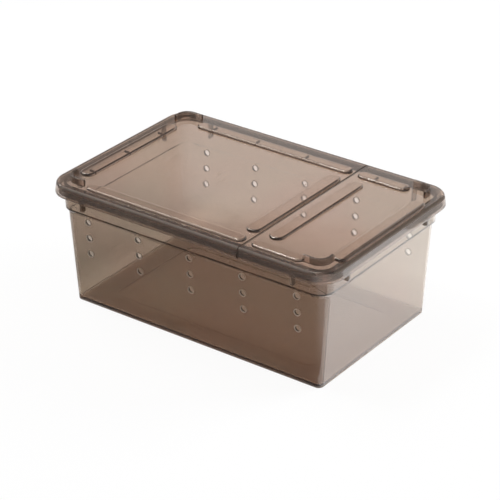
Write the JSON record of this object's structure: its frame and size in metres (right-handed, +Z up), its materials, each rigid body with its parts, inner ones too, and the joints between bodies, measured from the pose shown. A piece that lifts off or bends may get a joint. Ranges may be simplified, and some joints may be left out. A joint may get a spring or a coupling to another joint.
{
  "type": "hibernation box",
  "caption": "Low smoky clear plastic box for overwintering small animals: drafted tub with vent holes, and a main cover and a feeding cover that each lift off.",
  "frame": {"origin": "centre of the underside, on the surface that the tub stands on", "axes": "+X along the length towards the feeding cover, +Y towards the rear long wall, +Z up"},
  "size_m": [0.19, 0.125, 0.079],
  "materials": {
    "tub_plastic": "smooth, glossy, smoky and see-through",
    "cover_plastic": "smooth, glossy, smoky and see-through"
  },
  "bodies": {
    "tub": {"tub": "tub_plastic"},
    "main_cover": {"main_cover": "cover_plastic"},
    "feeding_cover": {"feeding_cover": "cover_plastic"}
  },
  "joints": [
    {"name": "main_cover_lift", "type": "slide", "parent": "tub", "child": "main_cover", "axis": [0, 0, 1], "range_m": [0, 0.045]},
    {"name": "feeding_cover_lift", "type": "slide", "parent": "tub", "child": "feeding_cover", "axis": [0, 0, 1], "range_m": [0, 0.045]}
  ]
}
